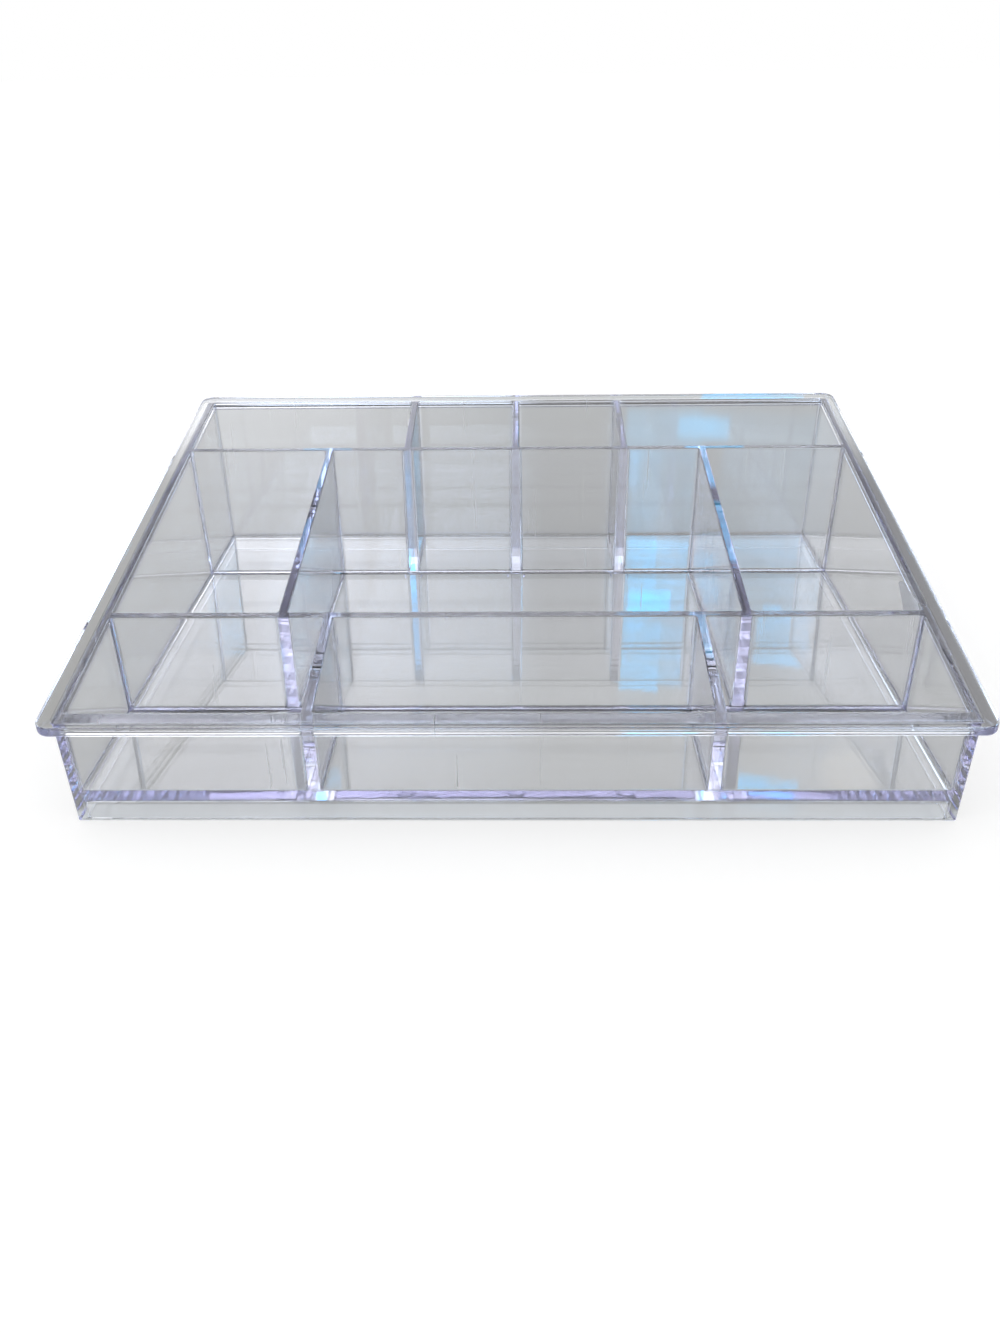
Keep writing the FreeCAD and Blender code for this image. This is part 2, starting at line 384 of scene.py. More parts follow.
class StudioSettings(bpy.types.PropertyGroup):
    """The floor, the light and the camera."""

    table_grey: FloatVectorProperty(
        name="Table Grey",
        description="Grey of the table as it shows through the plastic",
        default=(0.43, 0.436, 0.43), size=3, min=0, max=1, subtype="COLOR",
    )
    # Painted shade: the colours of the dark bands on the table beyond its sides, darker at the right.
    left_shade_band: FloatVectorProperty(
        name="Left Band",
        description="Colour of the dark band on the table at the left",
        default=(0.35, 0.35, 0.335), size=3, min=0, max=1, subtype="COLOR",
    )
    right_shade_band: FloatVectorProperty(
        name="Right Band",
        description="Colour of the dark band on the table at the right",
        default=(0.26, 0.26, 0.27), size=3, min=0, max=1, subtype="COLOR",
    )
    # Painted light: the colour of the pale strip on the table along the front wall's foot.
    foot_light: FloatVectorProperty(
        name="Light at the Foot",
        description="Colour of the table along the foot of the front wall",
        default=(0.79, 0.82, 0.84), size=3, min=0, max=1, subtype="COLOR",
    )
    horizon: FloatVectorProperty(
        name="Light at the Horizon",
        description="What the plastic mirrors from low down at the back of the room",
        default=(0.80, 0.84, 0.90), size=3, min=0, max=4, subtype="COLOR",
    )
    upper_wall: FloatVectorProperty(
        name="Light of the Upper Wall",
        description="What the plastic mirrors from half way up at the back of the room",
        default=(1.75, 1.80, 1.82), size=3, min=0, max=4, subtype="COLOR",
    )
    left_wall: FloatVectorProperty(
        name="Light at the Left",
        description="What the plastic mirrors from the back left of the room",
        default=(2.25, 2.30, 2.42), size=3, min=0, max=4, subtype="COLOR",
    )
    panel_light: FloatVectorProperty(
        name="Light Panels",
        description="Light of the tall panels that ring the room",
        default=(2.1, 2.5, 3.1), size=3, min=0, max=10, subtype="COLOR",
    )
    between_panels: FloatVectorProperty(
        name="Between the Panels",
        description="Light of the wall between the tall panels",
        default=(0.45, 0.45, 0.50), size=3, min=0, max=10, subtype="COLOR",
    )
    ceiling: FloatVectorProperty(
        name="Light from High Up",
        description="What the plastic mirrors from high up, where the room is dim",
        default=(0.12, 0.12, 0.12), size=3, min=0, max=4, subtype="COLOR",
    )
    overhead_light: FloatVectorProperty(
        name="Overhead Light",
        description="What the plastic mirrors from straight overhead",
        default=(0.40, 0.41, 0.41), size=3, min=0, max=10, subtype="COLOR",
    )
    window: FloatVectorProperty(
        name="Window",
        description="Light of the window at the back right",
        default=(0.5, 3.3, 6.0), size=3, min=0, max=10, subtype="COLOR",
    )
    lamp_glow: FloatVectorProperty(
        name="Warm Lamp",
        description="Light of the small warm lamp that the plastic mirrors",
        default=(2.15, 2.12, 2.02), size=3, min=0, max=20, subtype="COLOR",
    )
    sky_strength: FloatProperty(
        name="Sky Strength",
        description="Even light from all round on the floor",
        default=1.0, min=0,
    )
    lamp_power: FloatProperty(
        name="Soft Lamp",
        description="Power of the large soft lamp, in watts",
        default=3.0, min=0,
    )
    table_roughness: FloatProperty(
        name="Table Roughness",
        description="Roughness of the table's polish",
        default=0.05, min=0, max=1, subtype="FACTOR",
    )
    table_polish: FloatProperty(
        name="Table Polish",
        description="Strength of the table's polish, where 1 is that of a lacquered table",
        default=0.7, min=0, max=1, subtype="FACTOR",
    )
    light_turns: IntProperty(
        name="Light Turns",
        description="How many turns the light may take inside the panels before it comes out again",
        default=48, min=8, max=256,
    )
    floor_size: FloatProperty(
        name="Floor Size",
        description="Width and depth of the floor",
        default=30.0, unit="LENGTH", subtype="DISTANCE",
    )
    camera_place: FloatVectorProperty(
        name="Camera Place",
        description="Where the camera stands",
        default=(0.003216, -0.418925, 0.225145), size=3, precision=6, unit="LENGTH", subtype="TRANSLATION",
    )
    camera_turn: FloatVectorProperty(
        name="Camera Turn",
        description="How the camera is turned",
        default=(1.070, 0.012, 0.017), size=3, unit="ROTATION", subtype="EULER",
    )
    view_height: FloatProperty(
        name="View Height",
        description="Height of what the camera takes in at one metre",
        default=PICTURE_HEIGHT / FOCAL_LENGTH, unit="LENGTH", subtype="DISTANCE",
    )


def link_mesh(name, mesh):
    """An object for a mesh, in the scene."""
    piece = bpy.data.objects.new(name, mesh)
    bpy.context.scene.collection.objects.link(piece)
    return piece


def bake_modifiers(piece):
    """Turns what an object's modifiers make into its plain mesh, and takes the modifiers off."""
    graph = bpy.context.evaluated_depsgraph_get()
    mesh = bpy.data.meshes.new_from_object(piece.evaluated_get(graph))
    old = piece.data
    piece.modifiers.clear()
    piece.data = mesh
    mesh.name = piece.name
    bpy.data.meshes.remove(old)


def join_by(operation, piece, tool):
    """Cuts an object by a tool, or keeps what they share."""
    modifier = piece.modifiers.new(operation.lower(), "BOOLEAN")
    modifier.operation = operation
    modifier.solver = "MANIFOLD"
    modifier.object = tool
    bake_modifiers(piece)


def remove_object(piece):
    """Removes an object and its mesh."""
    mesh = piece.data
    bpy.data.objects.remove(piece)
    bpy.data.meshes.remove(mesh)


def round_edges(piece, radius, steps, least_angle):
    """Rounds every edge that turns more than an angle."""
    modifier = piece.modifiers.new("rounding", "BEVEL")
    modifier.width = radius
    modifier.segments = steps
    modifier.limit_method = "ANGLE"
    modifier.angle_limit = least_angle
    modifier.use_clamp_overlap = False
    bake_modifiers(piece)


def block(name, sides, bottom, top):
    """A solid between four upright faces, given in order round it, a bottom and a top."""
    neighbours = list(zip(sides, sides[1:] + sides[:1]))
    lower = [meeting_point(one, other, bottom) for one, other in neighbours]
    upper = [meeting_point(one, other, top) for one, other in neighbours]
    count = len(sides)
    faces = [tuple(range(count))[::-1], tuple(range(count, 2 * count))]
    for index in range(count):
        following = (index + 1) % count
        faces.append((index, following, count + following, count + index))
    mesh = bpy.data.meshes.new(name)
    mesh.from_pydata(lower + upper, [], faces)
    solid = bmesh.new()
    solid.from_mesh(mesh)
    bmesh.ops.recalc_face_normals(solid, faces=solid.faces)
    solid.to_mesh(mesh)
    solid.free()
    return link_mesh(name, mesh)


def rounded_rectangle(left, right, front, back, radius, steps):
    """Points of a rectangle with round corners, anticlockwise from its front left corner."""
    corners = (
        (left + radius, front + radius, 180),
        (right - radius, front + radius, 270),
        (right - radius, back - radius, 0),
        (left + radius, back - radius, 90),
    )
    points = []
    for middle_x, middle_y, start in corners:
        for step in range(steps + 1):
            angle = math.radians(start + 90 * step / steps)
            points.append((middle_x + radius * math.cos(angle), middle_y + radius * math.sin(angle)))
    return points


def height_on(plane, across, along):
    """How high a sloping face is above a place on the table."""
    normal = plane.normal
    rise = (across - plane.point.x) * normal.x + (along - plane.point.y) * normal.y
    return plane.point.z - rise / normal.z


def outer_block(settings):
    """The organizer as one full block: leaning walls with the flat rim round their top."""
    raked = face_of("rim_front", UP)
    underside = turned(face_of("rim_front", DOWN))
    table = Plane(Vector((0, 0, 0)), UP)
    walls = (
        face_of("left_wall", LEFT),
        face_of("front_wall", FRONT),
        face_of("right_wall", RIGHT),
        face_of("back_wall", BACK),
    )
    steps = settings.rim_corner_steps
    outline = rounded_rectangle(*rim_outline(), settings.rim_corner, steps)
    solid = bmesh.new()
    feet = []
    necks = []
    for one, other in zip(walls, walls[1:] + walls[:1]):
        feet.append(solid.verts.new(meeting_point(one, other, table)))
        necks.append(solid.verts.new(meeting_point(one, other, underside)))
    lower = [solid.verts.new((x, y, height_on(underside, x, y))) for x, y in outline]
    upper = [solid.verts.new((x, y, height_on(raked, x, y))) for x, y in outline]
    solid.faces.new(feet[::-1])
    solid.faces.new(upper)
    count = len(outline)
    for index in range(count):
        following = (index + 1) % count
        solid.faces.new((lower[index], lower[following], upper[following], upper[index]))
    # Under the rim, one face for each side, from the middle of one round corner to the next.
    for side in range(len(walls)):
        following = (side + 1) % len(walls)
        start = side * (steps + 1) + steps // 2
        edge = [lower[index % count] for index in range(start, start + steps + 2)]
        solid.faces.new([necks[following], necks[side]] + edge)
        solid.faces.new((feet[side], feet[following], necks[following], necks[side]))
    bmesh.ops.recalc_face_normals(solid, faces=solid.faces)
    mesh = bpy.data.meshes.new(CLEAR_STOCK)
    solid.to_mesh(mesh)
    solid.free()
    stock = link_mesh(CLEAR_STOCK, mesh)
    round_edges(stock, settings.edge_round, settings.round_steps, OUTER_EDGE_TURN)
    return stock


def mouth_loops(solid):
    """The open edges of a solid that was cut off flat, as closed loops of corners."""
    loops = []
    left_over = [edge for edge in solid.edges if edge.is_boundary]
    while left_over:
        edge = left_over.pop()
        start, corner = edge.verts
        loop = [start]
        while corner is not start:
            loop.append(corner)
            edge = next(each for each in corner.link_edges if each in left_over)
            left_over.remove(edge)
            corner = edge.other_vert(corner)
        loops.append(loop)
    return loops


def offset_directions(loop, up):
    """For each corner of a loop, the outward way in its plane that keeps its sides parallel."""
    places = [corner.co for corner in loop]
    middle = sum(places, Vector()) / len(places)
    sides = []
    for place, following in zip(places, places[1:] + places[:1]):
        outward = (following - place).cross(up).normalized()
        sides.append(outward if outward.dot(place - middle) > 0 else -outward)
    directions = []
    for before, after in zip(sides[-1:] + sides[:-1], sides):
        directions.append((before + after) / (1 + before.dot(after)))
    return directions


def flare_mouth(core, surface, radius, steps):
    """Widens a core where it comes out through a face, so that the edge it cuts there is round."""
    start = moved(surface, MOUTH_OVERSHOOT * radius - radius)
    solid = bmesh.new()
    solid.from_mesh(core.data)
    bmesh.ops.bisect_plane(
        solid,
        geom=solid.verts[:] + solid.edges[:] + solid.faces[:],
        plane_co=start.point,
        plane_no=start.normal,
        clear_outer=True,
        dist=CUT_NEARNESS,
    )
    for loop in mouth_loops(solid):
        ways = offset_directions(loop, surface.normal)
        places = [corner.co.copy() for corner in loop]
        rings = []
        for step in range(1, steps + 1):
            angle = math.radians(90 * step / steps)
            rings.append((radius * (1 - math.cos(angle)), radius * math.sin(angle)))
        rings.append((radius, radius + OPEN_AIR))
        below = loop
        for outward, rise in rings:
            ring = []
            for place, way in zip(places, ways):
                ring.append(solid.verts.new(place + way * outward + surface.normal * rise))
            for index in range(len(ring)):
                following = (index + 1) % len(ring)
                solid.faces.new((below[index], below[following], ring[following], ring[index]))
            below = ring
        solid.faces.new(below)
    bmesh.ops.recalc_face_normals(solid, faces=solid.faces)
    solid.to_mesh(core.data)
    solid.free()


def new_tree(name, sockets):
    """A geometry node tree with named inputs and one geometry output."""
    tree = bpy.data.node_groups.new(name, "GeometryNodeTree")
    tree.interface.new_socket(name="Geometry", in_out="OUTPUT", socket_type="NodeSocketGeometry")
    for socket_name, kind in sockets.items():
        tree.interface.new_socket(name=socket_name, in_out="INPUT", socket_type=kind)
    return tree


def add_node(tree, kind, links=None, **options):
    """A node of a tree, with its options set and its inputs linked or filled."""
    node = tree.nodes.new(kind)
    for option, value in options.items():
        setattr(node, option, value)
    for key, value in (links or {}).items():
        if isinstance(value, bpy.types.NodeSocket):
            tree.links.new(value, node.inputs[key])
        else:
            node.inputs[key].default_value = value
    return node


def math_of(tree, operation, first, second=0.0):
    """One step of arithmetic on one or two values."""
    return add_node(tree, "ShaderNodeMath", {0: first, 1: second}, operation=operation).outputs[0]


def product(tree, first, *others):
    """All the values multiplied with each other."""
    for value in others:
        first = math_of(tree, "MULTIPLY", first, value)
    return first


def magnitude(tree, value):
    """A value without its sign."""
    return math_of(tree, "ABSOLUTE", value)


def parts_of(tree, vector):
    """The parts of a vector, by the names X, Y and Z."""
    return add_node(tree, "ShaderNodeSeparateXYZ", {0: vector}).outputs


def ramp(tree, value, start, end, low=0, high=1, interpolation="SMOOTHSTEP"):
    """Low before a value's start, high past its end, and a ramp between them."""
    return add_node(
        tree,
        "ShaderNodeMapRange",
        {"Value": value, "From Min": start, "From Max": end, "To Min": low, "To Max": high},
        interpolation_type=interpolation,
    ).outputs[0]


def falloff(tree, value, middle, half_width, softness):
    """1 near a middle value, 0 far from it, with a soft edge between."""
    away = magnitude(tree, math_of(tree, "SUBTRACT", value, middle))
    return ramp(tree, away, half_width - softness / 2, half_width + softness / 2, 1, 0)


def blend_of(tree, share, first, second):
    """A colour between two: the first where the share is 0, the second where it is 1."""
    ends = [each if isinstance(each, bpy.types.NodeSocket) else (*each, 1) for each in (first, second)]
    # The colours of a mix node are its inputs 6 and 7 and its output 2.
    return add_node(tree, "ShaderNodeMix", {0: share, 6: ends[0], 7: ends[1]}, data_type="RGBA").outputs[2]


def set_tree_inputs(piece, tree, values):
    """Adds a tree to an object as a modifier and sets its inputs by the names of their sockets."""
    modifier = piece.modifiers.new(tree.name, "NODES")
    modifier.node_group = tree
    for socket in tree.interface.items_tree:
        if socket.in_out == "INPUT" and socket.name in values:
            modifier[socket.identifier] = values[socket.name]


def finish_tree(tree, geometry, material):
    """Ends a tree in realized geometry with its material."""
    realized = add_node(tree, "GeometryNodeRealizeInstances", {"Geometry": geometry})
    coated = add_node(
        tree,
        "GeometryNodeSetMaterial",
        {"Geometry": realized.outputs[0], "Material": material},
    )
    add_node(tree, "NodeGroupOutput", {"Geometry": coated.outputs[0]})


def row_of_places(tree, count, start, spacing):
    """Points in an even row that runs to the right."""
    offset = add_node(tree, "ShaderNodeCombineXYZ", {"X": spacing}).outputs[0]
    return add_node(
        tree,
        "GeometryNodeMeshLine",
        {"Count": count, "Start Location": start, "Offset": offset},
        mode="OFFSET",
    ).outputs[0]


def compartment_tree():
    """Parts the core of a whole row into its compartments, by slabs that stand evenly spaced."""
    tree = new_tree(
        "Compartments of a row",
        {
            "Geometry": "NodeSocketGeometry",
            "Divider Count": "NodeSocketInt",
            "Divider Spacing": "NodeSocketFloat",
            "Foot Thickness": "NodeSocketFloat",
            "Side Lean": "NodeSocketFloat",
            "Floor Height": "NodeSocketFloat",
            "Slab Height": "NodeSocketFloat",
            "Slab Length": "NodeSocketFloat",
            "Material": "NodeSocketMaterial",
        },
    )
    given = add_node(tree, "NodeGroupInput").outputs
    gaps = math_of(tree, "SUBTRACT", given["Divider Count"], 1)
    start_x = product(tree, gaps, given["Divider Spacing"], -0.5)
    start = add_node(tree, "ShaderNodeCombineXYZ", {"X": start_x, "Z": given["Floor Height"]})
    places = row_of_places(tree, given["Divider Count"], start.outputs[0], given["Divider Spacing"])
    cube = add_node(tree, "GeometryNodeMeshCube", {"Size": (1.0, 1.0, 1.0)})
    part = parts_of(tree, add_node(tree, "GeometryNodeInputPosition").outputs[0])
    # The slab is centred on the floor's top, and gets thinner as it rises.
    height = product(tree, part["Z"], given["Slab Height"])
    half_foot = product(tree, given["Foot Thickness"], 0.5)
    half = math_of(tree, "ADD", half_foot, product(tree, height, given["Side Lean"]))
    shaped = add_node(
        tree,
        "ShaderNodeCombineXYZ",
        {
            "X": product(tree, math_of(tree, "SIGN", part["X"]), half),
            "Y": product(tree, part["Y"], given["Slab Length"]),
            "Z": height,
        },
    )
    slab = add_node(
        tree,
        "GeometryNodeSetPosition",
        {"Geometry": cube.outputs["Mesh"], "Position": shaped.outputs[0]},
    )
    slabs = add_node(
        tree,
        "GeometryNodeInstanceOnPoints",
        {"Points": places, "Instance": slab.outputs[0]},
    )
    solid_slabs = add_node(tree, "GeometryNodeRealizeInstances", {"Geometry": slabs.outputs[0]})
    cores = add_node(
        tree,
        "GeometryNodeMeshBoolean",
        {"Mesh 1": given["Geometry"], "Mesh 2": solid_slabs.outputs[0]},
        operation="DIFFERENCE",
    )
    finish_tree(tree, cores.outputs["Mesh"], given["Material"])
    return tree


def pin_mark_tree():
    """Short round pins in an even row, as the mould's pins stand under the floor."""
    tree = new_tree(
        "Pin marks",
        {
            "Pin Count": "NodeSocketInt",
            "Pin Spacing": "NodeSocketFloat",
            "Pin Width": "NodeSocketFloat",
            "Pin Height": "NodeSocketFloat",
            "Row Place": "NodeSocketVector",
            "Material": "NodeSocketMaterial",
        },
    )
    given = add_node(tree, "NodeGroupInput").outputs
    places = row_of_places(tree, given["Pin Count"], given["Row Place"], given["Pin Spacing"])
    radius = product(tree, given["Pin Width"], 0.5)
    # The sides slant by as much as they rise, so that each mark shows as a ring.
    pin = add_node(
        tree,
        "GeometryNodeMeshCone",
        {
            "Vertices": PIN_FACETS,
            "Radius Top": radius,
            "Radius Bottom": math_of(tree, "ADD", radius, given["Pin Height"]),
            "Depth": given["Pin Height"],
        },
    )
    pins = add_node(
        tree,
        "GeometryNodeInstanceOnPoints",
        {"Points": places, "Instance": pin.outputs["Mesh"]},
    )
    finish_tree(tree, pins.outputs[0], given["Material"])
    return tree


def faces_round(before, behind):
    """The four upright faces round the space from one panel back to another."""
    return [
        turned(face_of("left_wall", RIGHT)),
        turned(face_of(before, BACK)),
        turned(face_of("right_wall", LEFT)),
        turned(face_of(behind, FRONT)),
    ]


def row_core(row):
    """The space of a whole row of compartments, from the floor's top to above the rim."""
    above = moved(face_of("rim_front", UP), OPEN_AIR)
    return block(f"{row}_cores", faces_round(*ROW_ENDS[row]), face_of("floor_panel", UP), above)


def cut_core(stock, core, mouth, settings):
    """Cuts a core out of the stock, with fillets and with a round edge where it comes out."""
    round_edges(core, settings.fillet, settings.round_steps, CORE_EDGE_TURN)
    flare_mouth(core, mouth, settings.edge_round, settings.round_steps)
    join_by("DIFFERENCE", stock, core)
    remove_object(core)


def cut_compartments(stock, settings, material):
    """Cuts the ten compartments out of the clear stock, with a fillet along every inner corner."""
    tree = compartment_tree()
    # The slabs reach well past a row on every side.
    slab_height = 2 * (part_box("back_wall")[1].z + 2 * OPEN_AIR)
    slab_length = 2 * (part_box("left_wall")[1].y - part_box("left_wall")[0].y)
    for row, dividers in ROWS.items():
        core = row_core(row)
        set_tree_inputs(
            core,
            tree,
            {
                "Divider Count": len(dividers),
                "Divider Spacing": row_spacing(row),
                "Foot Thickness": settings.divider_foot,
                "Side Lean": DIVIDER_LEAN,
                "Floor Height": FLOOR_TOP,
                "Slab Height": slab_height,
                "Slab Length": slab_length,
                "Material": material,
            },
        )
        bake_modifiers(core)
        cut_core(stock, core, face_of("rim_front", UP), settings)


def cut_recess(stock, settings):
    """Hollows out the space under the floor, inside the skirt that the walls form."""
    below = Plane(DOWN * OPEN_AIR, DOWN)
    above = turned(face_of("floor_panel", DOWN))
    core = block("recess_core", faces_round("front_wall", "back_wall"), below, above)
    cut_core(stock, core, Plane(Vector((0, 0, 0)), DOWN), settings)


def cut_pin_marks(stock, settings, material):
    """Leaves the shallow round marks under the floor, below the feet of the rear dividers."""
    tree = pin_mark_tree()
    mark = link_mesh("pin_marks", bpy.data.meshes.new("pin_marks"))
    under_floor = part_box("floor_panel")[0].z
    height = PIN_HEIGHTS * settings.pin_mark_depth
    place = (
        box_middle("rear_divider_left").x,
        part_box("rear_cross_divider")[0].y,
        under_floor + settings.pin_mark_depth - height,
    )
    set_tree_inputs(
        mark,
        tree,
        {
            "Pin Count": len(ROWS["rear"]),
            "Pin Spacing": row_spacing("rear"),
            "Pin Width": settings.pin_mark_width,
            "Pin Height": height,
            "Row Place": place,
            "Material": material,
        },
    )
    bake_modifiers(mark)
    join_by("DIFFERENCE", stock, mark)
    remove_object(mark)


def waved_normal(tree, place, length, depth, below=None):
    """The direction of a face with soft waves of a length and depth, laid over those below."""
    waves = add_node(
        tree,
        "ShaderNodeTexNoise",
        {"Vector": place, "Scale": 1 / length, "Detail": 1, "Distortion": WAVE_DISTORTION},
    )
    links = {"Distance": depth, "Height": waves.outputs[0]}
    if below is not None:
        links["Normal"] = below
    return add_node(tree, "ShaderNodeBump", links).outputs[0]


def upright_scuffs(tree, place, settings):
    """A few fine scuffs on the upright faces, drawn down as things are put in: 1 on a scuff."""
    cells = add_node(
        tree,
        "ShaderNodeTexVoronoi",
        {"Vector": place, "Scale": 1 / settings.scuff_spacing, "Randomness": 1},
    ).outputs
    away = add_node(tree, "ShaderNodeVectorMath", {0: place, 1: cells["Position"]}, operation="SUBTRACT")
    part = parts_of(tree, away.outputs[0])
    # A scuff is as wide as given in the middle, and runs out to nothing at both ends.
    reach = math_of(tree, "MAXIMUM", magnitude(tree, part["Y"]), magnitude(tree, part["Z"]))
    share = math_of(tree, "DIVIDE", reach, settings.scuff_length / 2)
    half_width = product(tree, math_of(tree, "SUBTRACT", 1, share), settings.scuff_width / 2)
    facing = add_node(tree, "ShaderNodeNewGeometry").outputs["True Normal"]
    slope = magnitude(tree, parts_of(tree, facing)["Z"])
    return product(
        tree,
        math_of(tree, "LESS_THAN", magnitude(tree, part["X"]), half_width),
        math_of(tree, "LESS_THAN", parts_of(tree, cells["Color"])["X"], settings.scuff_share),
        math_of(tree, "LESS_THAN", slope, SCUFF_SLOPE),
        math_of(tree, "GREATER_THAN", parts_of(tree, place)["Z"], settings.scuff_foot),
    )


def clear_plastic(name, settings, haze):
    """Clear moulded plastic: a faint violet tint that deepens along the edges, and soft waves."""
    material = bpy.data.materials.new(name)
    material.use_nodes = True
    tree = material.node_tree
    shader = tree.nodes["Principled BSDF"]
    shader.inputs["Base Color"].default_value = (1, 1, 1, 1)
    shader.inputs["Transmission Weight"].default_value = 1 - haze
    shader.inputs["IOR"].default_value = settings.refractive_index
    shader.inputs["Roughness"].default_value = 0
    place = add_node(tree, "ShaderNodeTexCoord").outputs["Object"]
    flow = waved_normal(tree, place, settings.flow_length, settings.flow_depth)
    ripples = waved_normal(tree, place, settings.ripple_length, settings.ripple_depth, flow)
    tree.links.new(ripples, shader.inputs["Normal"])
    inside = tree.nodes.new("ShaderNodeVolumeAbsorption")
    inside.inputs["Color"].default_value = (*settings.tint, 1)
    inside.inputs["Density"].default_value = settings.tint_density
    tree.links.new(inside.outputs[0], tree.nodes["Material Output"].inputs["Volume"])
    return material


def worn_plastic(settings):
    """The plastic of the panels, with the fine haze and the scuffs of use."""
    material = clear_plastic(WORN_PLASTIC, settings, settings.haze)
    tree = material.node_tree
    place = add_node(tree, "ShaderNodeTexCoord").outputs["Object"]
    scuffs = upright_scuffs(tree, place, settings)
    roughness = product(tree, scuffs, settings.scuff_roughness)
    tree.links.new(roughness, tree.nodes["Principled BSDF"].inputs["Roughness"])
    return material


def finish_piece(piece, node, material):
    """Gives a parted piece its plastic and its place in the frame."""
    solid = bmesh.new()
    solid.from_mesh(piece.data)
    bmesh.ops.remove_doubles(solid, verts=solid.verts, dist=CORNER_NEARNESS)
    bmesh.ops.dissolve_degenerate(solid, edges=solid.edges, dist=CORNER_NEARNESS)
    solid.to_mesh(piece.data)
    solid.free()
    for face in piece.data.polygons:
        face.use_smooth = False
    piece.data.materials.clear()
    piece.data.materials.append(bpy.data.materials[material])
    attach(piece, BODY)
    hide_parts(node)


def part_off(node, make_cell, lap, material=WORN_PLASTIC):
    """Parts one panel off the clear stock as a closed piece that stands for its frame node."""
    stock = bpy.data.objects[CLEAR_STOCK]
    piece = link_mesh(f"{node}_clear", stock.data.copy())
    wide_cell = make_cell(lap)
    join_by("INTERSECT", piece, wide_cell)
    remove_object(wide_cell)
    tight_cell = make_cell(-lap)
    join_by("DIFFERENCE", stock, tight_cell)
    remove_object(tight_cell)
    if not piece.data.polygons:
        raise RuntimeError(f"{node}: nothing was left to part off")
    finish_piece(piece, node, material)


def toe_reach(settings):
    """How far out from a panel's face its parting cut goes, to take in the whole fillet beside it."""
    return TOE_REACH * settings.fillet


def mitre_cell(side, lap, reach):
    """The block that parts off one strip of the rim, with a mitre through each of its corners."""
    left, right, front, back = rim_outline()
    outward = SIDES[side]
    along = Vector((outward.y, -outward.x, 0))
    distance = {"front": -front, "back": back, "left": -left, "right": right}[side]
    half_length = (right - left) / 2 if side in ("front", "back") else (back - front) / 2
    # The side strips come last, so they take all that is left at the mitres.
    end_lap = 2 * abs(lap) if side in ("left", "right") else lap
    ends = []
    for sign in (1, -1):
        corner = outward * distance + along * half_length * sign
        ends.append(moved(Plane(corner, (along * sign - outward).normalized()), end_lap))
    outer = Plane(outward * (distance + OPEN_AIR), outward)
    inner = moved(turned(face_of(f"{side}_wall", outward)), lap)
    bottom = moved(face_of("rim_front", DOWN), reach)
    top = moved(face_of("rim_front", UP), OPEN_AIR)
    return block(f"rim_{side}_cell", [outer, ends[0], inner, ends[1]], bottom, top)


def grown_cell(node, reaches, lap, toe):
    """The block that a panel is parted off by: the panel, with each face moved out by its reach."""
    distances = {"lap": lap, "toe": toe, "open": OPEN_AIR}
    ways = (LEFT, FRONT, RIGHT, BACK, DOWN, UP)
    faces = [moved(face_of(node, way), distances[reach]) for way, reach in zip(ways, reaches.split())]
    return block(f"{node}_cell", faces[:4], faces[4], faces[5])


def part_off_panels(context, nodes, reaches):
    """Parts off like panels. The reaches are those to the left, front, right, back, down and up."""
    settings = context.scene.organizer_moulding
    toe = toe_reach(settings)
    for node in nodes:
        part_off(node, lambda lap: grown_cell(node, reaches, lap, toe), settings.joint_lap)


class ORGANIZER_OT_clear_stock(bpy.types.Operator):
    """Cast the whole clear body: outer block, ten compartments, recess and pin marks"""

    bl_idname = "organizer.clear_stock"
    bl_label = "Clear Stock"

    def execute(self, context):
        settings = context.scene.organizer_moulding
        plastic = context.scene.organizer_plastic
        material = worn_plastic(plastic)
        clear_plastic(POLISHED_PLASTIC, plastic, 0)
        stock = outer_block(settings)
        cut_compartments(stock, settings, material)
        cut_recess(stock, settings)
        cut_pin_marks(stock, settings, material)
        return {"FINISHED"}


class ORGANIZER_OT_rim(bpy.types.Operator):
    """Part off the four mitred strips of the rim"""

    bl_idname = "organizer.rim"
    bl_label = "Rim"

    def execute(self, context):
        settings = context.scene.organizer_moulding
        for side in SIDES:
            part_off(
                f"rim_{side}",
                lambda lap: mitre_cell(side, lap, toe_reach(settings)),
                settings.joint_lap,
                POLISHED_PLASTIC,
            )
        return {"FINISHED"}


class ORGANIZER_OT_row_dividers(bpy.types.Operator):
    """Part off the lengthwise dividers of the three rows"""

    bl_idname = "organizer.row_dividers"
    bl_label = "Row Dividers"

    def execute(self, context):
        for dividers in ROWS.values():
            part_off_panels(context, dividers, "toe lap toe lap lap open")
        return {"FINISHED"}


class ORGANIZER_OT_cross_dividers(bpy.types.Operator):
    """Part off the two dividers that run across the organizer"""

    bl_idname = "organizer.cross_dividers"
    bl_label = "Cross Dividers"

    def execute(self, context):
        part_off_panels(context, ROW_ENDS["middle"], "lap toe lap toe lap open")
        return {"FINISHED"}


class ORGANIZER_OT_floor(bpy.types.Operator):
    """Part off the raised floor"""

    bl_idname = "organizer.floor"
    bl_label = "Floor"

    def execute(self, context):
        part_off_panels(context, ["floor_panel"], "lap lap lap lap toe toe")
        return {"FINISHED"}


class ORGANIZER_OT_walls(bpy.types.Operator):
    """Part off the front and back walls, then the two side walls"""

    bl_idname = "organizer.walls"
    bl_label = "Walls"

    def execute(self, context):
        part_off_panels(context, ["front_wall", "back_wall"], "lap toe lap toe open open")
        part_off_panels(context, ["left_wall", "right_wall"], "toe toe toe toe open open")
        remove_object(bpy.data.objects[CLEAR_STOCK])
        return {"FINISHED"}


def by_plastic(tree, light_path):
    """1 for a ray that the plastic mirrors or lets through, and 0 for any other."""
    either = math_of(tree, "ADD", light_path["Is Glossy Ray"], light_path["Is Transmission Ray"])
    return math_of(tree, "MINIMUM", either, 1)


